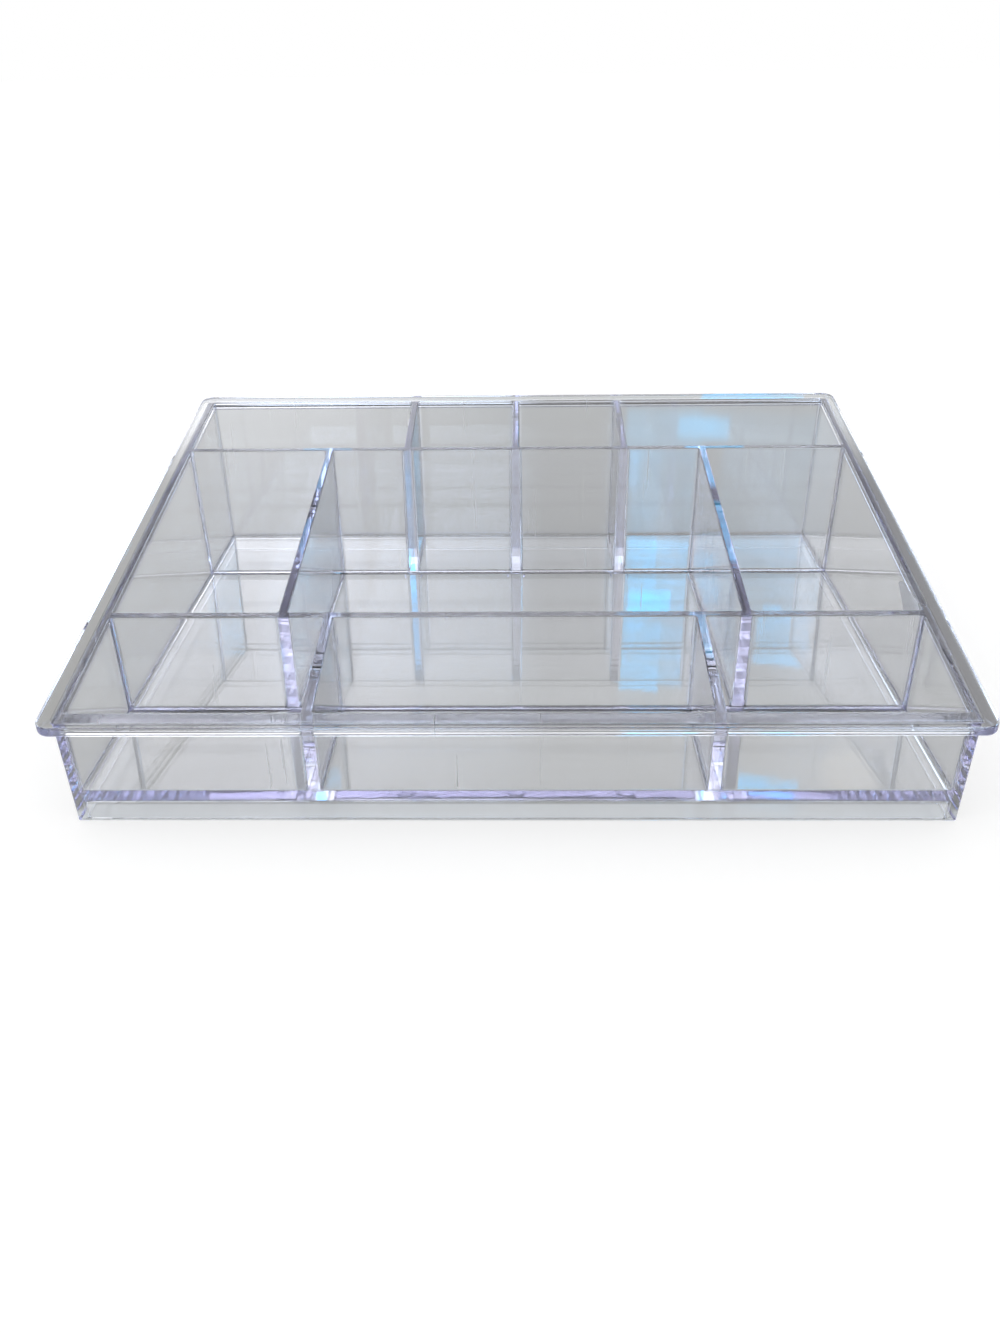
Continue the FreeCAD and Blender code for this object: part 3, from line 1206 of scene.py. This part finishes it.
def table_colour(tree, settings):
    """The table as the plastic shows it: grey, with painted shade in dark bands at both sides, and a
    painted strip of light at the front wall's foot.
    """
    part = parts_of(tree, add_node(tree, "ShaderNodeTexCoord").outputs["Object"])
    # Painted shade: a dark band on the table beyond each side, darker at the right.
    spread = product(tree, part["Y"], SHADE_BAND_SPREAD)
    aside = math_of(tree, "SUBTRACT", magnitude(tree, part["X"]), spread)
    in_shade_band = falloff(tree, aside, SHADE_BAND_MIDDLE, SHADE_BAND_HALF_WIDTH, SHADE_BAND_SOFTNESS)
    at_right = math_of(tree, "GREATER_THAN", part["X"], 0)
    band = blend_of(tree, at_right, settings.left_shade_band, settings.right_shade_band)
    colour = blend_of(tree, in_shade_band, settings.table_grey, band)
    # Painted light: a pale strip on the table just behind the front wall's foot.
    foot_light = FOOT_LIGHT_INSET - foot_of("front_wall", FRONT, 0)[0]
    at_foot = falloff(tree, part["Y"], foot_light, FOOT_LIGHT_HALF_WIDTH, FOOT_LIGHT_SOFTNESS)
    return blend_of(tree, at_foot, colour, settings.foot_light)


def studio_floor(settings):
    """A floor that is white to the camera, keeps a soft shadow, and is a grey table to the plastic."""
    half = settings.floor_size / 2
    mesh = bpy.data.meshes.new("studio_floor")
    corners = [(-half, -half, 0), (half, -half, 0), (half, half, 0), (-half, half, 0)]
    mesh.from_pydata(corners, [], [(0, 1, 2, 3)])
    material = bpy.data.materials.new("studio_floor")
    material.use_nodes = True
    tree = material.node_tree
    tree.nodes.remove(tree.nodes["Principled BSDF"])
    light_path = add_node(tree, "ShaderNodeLightPath").outputs
    through = by_plastic(tree, light_path)
    colour = blend_of(tree, through, WHITE, table_colour(tree, settings))
    lit = add_node(tree, "ShaderNodeBsdfDiffuse", {"Color": colour})
    glow = add_node(tree, "ShaderNodeEmission", {"Color": colour, "Strength": FLOOR_GLOW})
    seen = math_of(tree, "ADD", light_path["Is Camera Ray"], through)
    share = product(tree, seen, FLOOR_GLOW_SHARE)
    plain = add_node(tree, "ShaderNodeMixShader", {0: share, 1: lit.outputs[0], 2: glow.outputs[0]})
    # Through the plastic the table shows a polish, in which the window continues.
    polish = add_node(tree, "ShaderNodeBsdfGlossy", {"Roughness": settings.table_roughness})
    sheen = add_node(tree, "ShaderNodeFresnel", {"IOR": POLISH_INDEX}).outputs[0]
    polished = product(tree, sheen, through, settings.table_polish)
    mixed = add_node(tree, "ShaderNodeMixShader", {0: polished, 1: plain.outputs[0], 2: polish.outputs[0]})
    tree.links.new(mixed.outputs[0], tree.nodes["Material Output"].inputs["Surface"])
    mesh.materials.append(material)
    link_mesh("studio_floor", mesh)


def window_light(tree, direction, heading, rise):
    """Where the window's panes are, as a share from 0 to 1 of its light."""
    panes = 0
    for pane in WINDOW_PANES:
        wide = falloff(tree, heading, pane.heading, pane.half_width, PANE_SOFTNESS)
        tall = falloff(tree, rise, pane.rise, pane.half_height, PANE_SOFTNESS)
        panes = math_of(tree, "MAXIMUM", product(tree, wide, tall, pane.share), panes)
    clouds = add_node(
        tree,
        "ShaderNodeTexNoise",
        {"Vector": direction, "Scale": CLOUD_SCALE, "Detail": 2, "Distortion": CLOUD_DISTORTION},
    ).outputs[0]
    # The slats of a blind run level across the panes.
    across = add_node(
        tree,
        "ShaderNodeCombineXYZ",
        {"X": product(tree, heading, SLAT_SCALE[0]), "Y": product(tree, rise, SLAT_SCALE[1])},
    ).outputs[0]
    slats = add_node(tree, "ShaderNodeTexNoise", {"Vector": across, "Scale": 1, "Detail": 1}).outputs[0]
    return product(
        tree,
        panes,
        ramp(tree, clouds, *CLOUD_NOISE, DIMMEST, 1, "LINEAR"),
        ramp(tree, slats, *SLAT_NOISE, DIMMEST, 1, "LINEAR"),
    )


def light_panels(tree, heading):
    """Tall panels of light that stand in a ring all round, as a share from 0 to 1."""
    wave = math_of(tree, "SINE", product(tree, heading, PANEL_COUNT))
    return ramp(tree, wave, -PANEL_EDGE, PANEL_EDGE)


def lamp_light(tree, direction):
    """Where the small warm lamp hangs, as a share from 0 to 1 with a soft edge."""
    level = math.cos(LAMP_HEIGHT)
    towards = (math.sin(LAMP_HEADING) * level, math.cos(LAMP_HEADING) * level, math.sin(LAMP_HEIGHT))
    facing = add_node(tree, "ShaderNodeVectorMath", {0: direction, 1: towards}, operation="DOT_PRODUCT")
    return ramp(tree, facing.outputs["Value"], math.cos(LAMP_EDGE), math.cos(LAMP_CORE))


def room_light(tree, settings):
    """The room that the plastic mirrors: its walls, light panels, dim upper part, window and lamp."""
    direction = add_node(tree, "ShaderNodeTexCoord").outputs["Generated"]
    part = parts_of(tree, direction)
    rise = part["Z"]
    heading = math_of(tree, "ARCTAN2", part["X"], part["Y"])
    half_way_up = ramp(tree, rise, *WALL_RISE, interpolation="LINEAR")
    wall = blend_of(tree, half_way_up, settings.horizon, settings.upper_wall)
    wall = blend_of(tree, ramp(tree, heading, *LEFT_WALL_HEADING), wall, settings.left_wall)
    panels = blend_of(tree, light_panels(tree, heading), settings.between_panels, settings.panel_light)
    straight_back = falloff(tree, heading, 0, STRAIGHT_BACK, STRAIGHT_BACK_SOFTNESS)
    around = blend_of(tree, straight_back, panels, wall)
    # At both sides the dim upper room reaches further down.
    sides = math_of(tree, "SUBTRACT", 1, falloff(tree, heading, 0, HIGH_WALL, HIGH_WALL_SOFTNESS))
    high_up = ramp(tree, math_of(tree, "ADD", rise, product(tree, sides, SIDE_DROP)), *UPPER_ROOM_RISE)
    overhead = ramp(tree, rise, *OVERHEAD_RISE)
    upper_room = blend_of(tree, overhead, settings.ceiling, settings.overhead_light)
    room = blend_of(tree, high_up, around, upper_room)
    room = blend_of(tree, window_light(tree, direction, heading, rise), room, settings.window)
    return blend_of(tree, lamp_light(tree, direction), room, settings.lamp_glow)


def studio_sky(settings):
    """White to the camera, even light on matt surfaces, and a whole room to the plastic."""
    world = bpy.data.worlds.new("studio_sky")
    bpy.context.scene.world = world
    world.use_nodes = True
    tree = world.node_tree
    background = tree.nodes["Background"]
    light_path = add_node(tree, "ShaderNodeLightPath").outputs
    even = [settings.sky_strength] * 3
    colour = blend_of(tree, by_plastic(tree, light_path), even, room_light(tree, settings))
    colour = blend_of(tree, light_path["Is Camera Ray"], colour, WHITE)
    tree.links.new(colour, background.inputs["Color"])
    background.inputs["Strength"].default_value = 1


def soft_lamp(settings):
    """A large soft lamp that looks at the organizer, and doesn't show in the plastic."""
    lamp = bpy.data.lights.new("soft_lamp", "AREA")
    lamp.size = SOFT_LAMP_SIZE
    lamp.energy = settings.lamp_power
    stand = bpy.data.objects.new("soft_lamp", lamp)
    bpy.context.scene.collection.objects.link(stand)
    stand.location = SOFT_LAMP_PLACE
    stand.rotation_euler = (-Vector(SOFT_LAMP_PLACE)).to_track_quat("-Z", "Y").to_euler()
    stand.visible_glossy = False
    stand.visible_transmission = False


def studio_camera(settings):
    """The camera, at the photo's place and angle."""
    camera = bpy.data.cameras.new("studio_camera")
    stand = bpy.data.objects.new("studio_camera", camera)
    bpy.context.scene.collection.objects.link(stand)
    bpy.context.scene.camera = stand
    camera.sensor_fit = "VERTICAL"
    camera.sensor_height = SENSOR_HEIGHT
    camera.lens = SENSOR_HEIGHT / settings.view_height
    camera.clip_start = NEAREST_VIEW
    stand.location = settings.camera_place
    stand.rotation_euler = settings.camera_turn


class ORGANIZER_OT_stage(bpy.types.Operator):
    """Set up the floor, the light and the camera"""

    bl_idname = "organizer.stage"
    bl_label = "Stage"

    def execute(self, context):
        settings = context.scene.organizer_studio
        studio_floor(settings)
        studio_sky(settings)
        soft_lamp(settings)
        studio_camera(settings)
        # Light runs along inside the panels, so it needs many turns before it comes out again.
        cycles = context.scene.cycles
        cycles.max_bounces = settings.light_turns
        cycles.transmission_bounces = settings.light_turns
        cycles.glossy_bounces = settings.light_turns
        context.scene.view_settings.view_transform = "Standard"
        return {"FINISHED"}


OPERATORS = (
    ORGANIZER_OT_clear_stock,
    ORGANIZER_OT_rim,
    ORGANIZER_OT_row_dividers,
    ORGANIZER_OT_cross_dividers,
    ORGANIZER_OT_floor,
    ORGANIZER_OT_walls,
    ORGANIZER_OT_stage,
)


SETTINGS = {
    "organizer_moulding": MouldingSettings,
    "organizer_plastic": PlasticSettings,
    "organizer_studio": StudioSettings,
}


class ORGANIZER_PT_panel(bpy.types.Panel):
    """Lists the organizer's sizes and the steps that make it"""

    bl_label = "Clear Vanity Organizer"
    bl_idname = "ORGANIZER_PT_panel"
    bl_space_type = "VIEW_3D"
    bl_region_type = "UI"
    bl_category = "Organizer"

    def draw(self, context):
        layout = self.layout
        for name in SETTINGS:
            settings = getattr(context.scene, name)
            box = layout.box()
            for key in settings.__annotations__:
                box.prop(settings, key)
        for operator in OPERATORS:
            layout.operator(operator.bl_idname)


def register():
    """Makes the settings, operators and panel known."""
    for group in SETTINGS.values():
        bpy.utils.register_class(group)
    for name, group in SETTINGS.items():
        setattr(bpy.types.Scene, name, PointerProperty(type=group))
    for operator in OPERATORS:
        bpy.utils.register_class(operator)
    bpy.utils.register_class(ORGANIZER_PT_panel)


def unregister():
    """Takes back what register did."""
    bpy.utils.unregister_class(ORGANIZER_PT_panel)
    for operator in reversed(OPERATORS):
        bpy.utils.unregister_class(operator)
    for name, group in SETTINGS.items():
        delattr(bpy.types.Scene, name)
        bpy.utils.unregister_class(group)


def main():
    """Makes the organizer and its studio."""
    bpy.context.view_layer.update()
    register()
    bpy.ops.organizer.clear_stock()
    bpy.ops.organizer.rim()
    bpy.ops.organizer.row_dividers()
    bpy.ops.organizer.cross_dividers()
    bpy.ops.organizer.floor()
    bpy.ops.organizer.walls()
    bpy.ops.organizer.stage()


if __name__ == "__main__":
    main()
